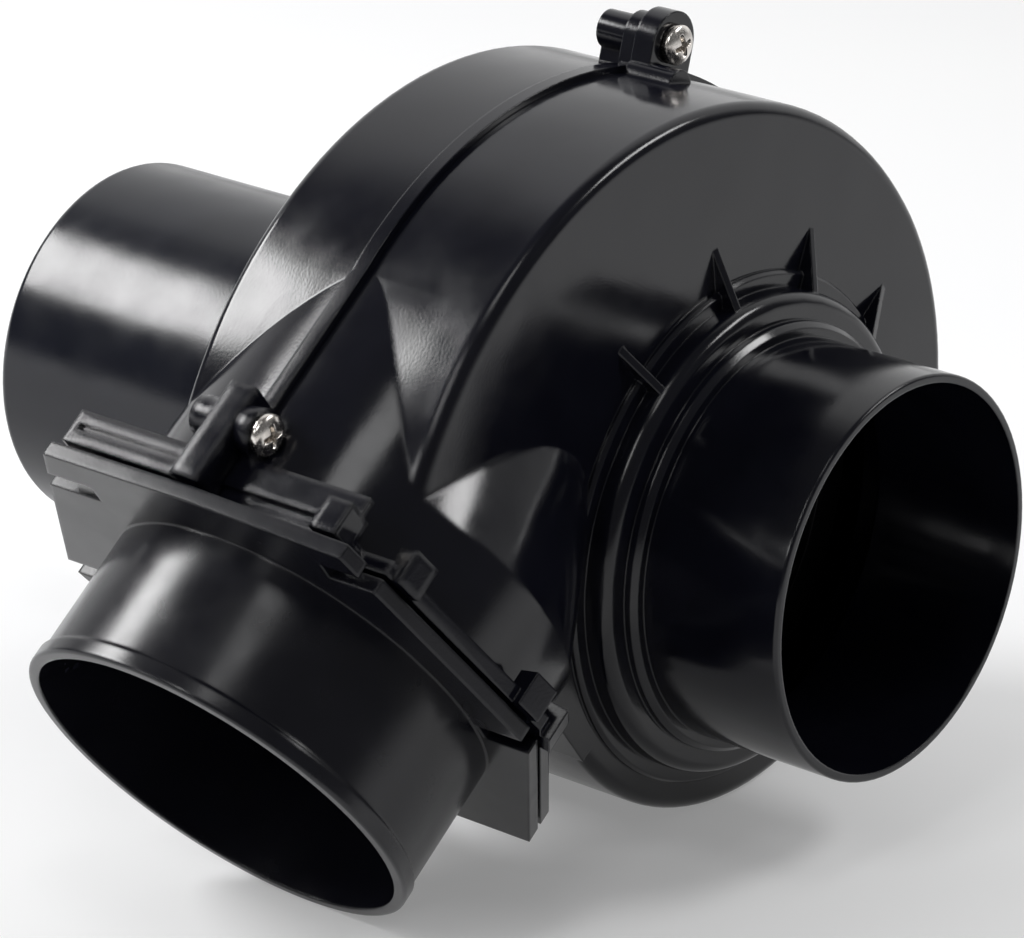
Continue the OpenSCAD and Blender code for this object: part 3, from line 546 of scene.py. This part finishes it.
def glow_when_seen(tree, strength):
    """The strength for camera, glossy and transmission rays, 0 for the rays that carry light
    around."""
    path, glow = tree.nodes.new("ShaderNodeLightPath"), tree.nodes.new("ShaderNodeMath")
    glow.operation = "MULTIPLY"
    glow.inputs[1].default_value = strength
    seen = larger_of(tree, path.outputs["Is Camera Ray"], path.outputs["Is Glossy Ray"])
    seen = larger_of(tree, seen, path.outputs["Is Transmission Ray"])
    tree.links.new(seen, glow.inputs[0])
    return glow.outputs[0]


white, white_tree, white_shader = blank("white sheet", Roughness=0.85, Specular_IOR_Level=0.1,
                                        Emission_Color=(1, 1, 1, 1))
white_tree.links.new(two_tone(white_tree, noise(white_tree, SHEET_SPOT, 0, 1), *SHEET_TONES),
                     white_shader.inputs["Base Color"])
white_tree.links.new(glow_when_seen(white_tree, SHEET_GLOW), white_shader.inputs["Emission Strength"])
sheet_mesh = bpy.data.meshes.new("studio_floor")
sheet_mesh.from_pydata([(sx * SHEET_HALF, sy * SHEET_HALF, cad_low.z)
                        for sx, sy in ((-1, -1), (1, -1), (1, 1), (-1, 1))], [], [(0, 1, 2, 3)])
sheet_mesh.materials.append(white)
sheet = bpy.data.objects.new("studio_floor", sheet_mesh)
bpy.context.scene.collection.objects.link(sheet)
print("sheet at height", round(cad_low.z / MM, 1), "mm")

# %% [markdown]
# ## Lamps
# Black plastic shows almost nothing of its own colour. What draws its form is what it
# mirrors: one strong soft box behind the motor cover makes the broad bright patches, and
# four weaker ones make the narrow streaks and sparks. The table gives each lamp's azimuth,
# elevation and roll in degrees, its distance, width and height in metres, and its radiance.

# %% Lamps
LAMPS = (
    # name, azimuth, elevation, distance, width, height, radiance, roll
    ("main box", 116.5, 35.5, 1.3, 0.72, 0.46, 20, -15),
    ("left strip", 180, 42, 1.2, 0.18, 0.45, 9, 0),
    ("low left spark", 156, 22, 1.2, 0.18, 0.18, 11, 0),
    ("right strip", -47, 40, 1.2, 0.56, 0.20, 14, 0),
    ("dim top", -150, 66, 1.2, 0.30, 0.30, 4.0, 0),
)
fan_middle = (cad_low + cad_high) / 2


def direction(azimuth, elevation):
    """Unit vector at an azimuth from +X towards +Y and an elevation from the floor, in
    degrees."""
    a, e = math.radians(azimuth), math.radians(elevation)
    return Vector((math.cos(e) * math.cos(a), math.cos(e) * math.sin(a), math.sin(e)))


def soft_box(name, azimuth, elevation, distance, width, height, radiance, roll):
    """An oval lamp that looks at the middle of the fan from a direction and a distance, rolled
    by some degrees about that direction. Its power is radiance times area times pi, so radiance
    is what a mirror would show."""
    lamp = bpy.data.lights.new(name, "AREA")
    lamp.shape, lamp.size, lamp.size_y = "ELLIPSE", width, height
    lamp.energy = radiance * math.pi / 4 * width * height * math.pi
    holder = bpy.data.objects.new(name, lamp)
    holder.location = fan_middle + distance * direction(azimuth, elevation)
    aim = (-direction(azimuth, elevation)).to_track_quat("-Z", "Y").to_matrix()
    holder.rotation_euler = (aim @ Matrix.Rotation(math.radians(roll), 3, "Z")).to_euler()
    bpy.context.scene.collection.objects.link(holder)
    print(name, "at", [round(v, 2) for v in holder.location])


for lamp_row in LAMPS:
    soft_box(*lamp_row)

# %% [markdown]
# ## Room
# A white wall stands behind the fan, as the camera sees it, and lights what faces up and
# back. It is full white within the angle WALL_FULL of its middle and gone at WALL_END; a dim
# room all round keeps the rest deep black.

# %% Room
WALL_SIDE = direction(28, 18)
WALL_FULL, WALL_END = math.radians(40), math.radians(62)
ROOM_DIM, WALL_WHITE = 0.13, 1.0
world = bpy.data.worlds.new("soft room")
bpy.context.scene.world = world
world.use_nodes = True
room_tree = world.node_tree
room = room_tree.nodes["Background"]
room.inputs["Color"].default_value = (1, 1, 1, 1)
look, facing = room_tree.nodes.new("ShaderNodeTexCoord"), room_tree.nodes.new("ShaderNodeVectorMath")
facing.operation = "DOT_PRODUCT"
facing.inputs[1].default_value = WALL_SIDE
room_tree.links.new(look.outputs["Generated"], facing.inputs[0])
room_tree.links.new(smooth_step(room_tree, facing.outputs["Value"], math.cos(WALL_END),
                                math.cos(WALL_FULL), ROOM_DIM, WALL_WHITE), room.inputs["Strength"])
print("white wall towards", [round(v, 2) for v in WALL_SIDE])

# %% [markdown]
# ## Camera
# A long lens, as in a product photograph, so the round mouths stay nearly parallel. The
# camera stands left of the inlet and a little above the fan.

# %% Camera
LENS, SENSOR = 182.25, 36.0
eye = Vector((-0.70721, -0.48455, 0.33684))
right = Vector((0.63754, -0.77000, 0.02516))
back = Vector((-0.72746, -0.59093, 0.34871))
camera = bpy.data.objects.new("camera", bpy.data.cameras.new("camera"))
camera.data.lens, camera.data.sensor_width = LENS, SENSOR
up = back.cross(right).normalized()
camera.matrix_world = Matrix.Translation(eye) @ Matrix((right, up, back)).transposed().to_4x4()
bpy.context.scene.collection.objects.link(camera)
bpy.context.scene.camera = camera
bpy.context.scene.view_settings.view_transform = "Standard"
print("camera with a lens of", round(LENS), "mm at", [round(v, 2) for v in eye])
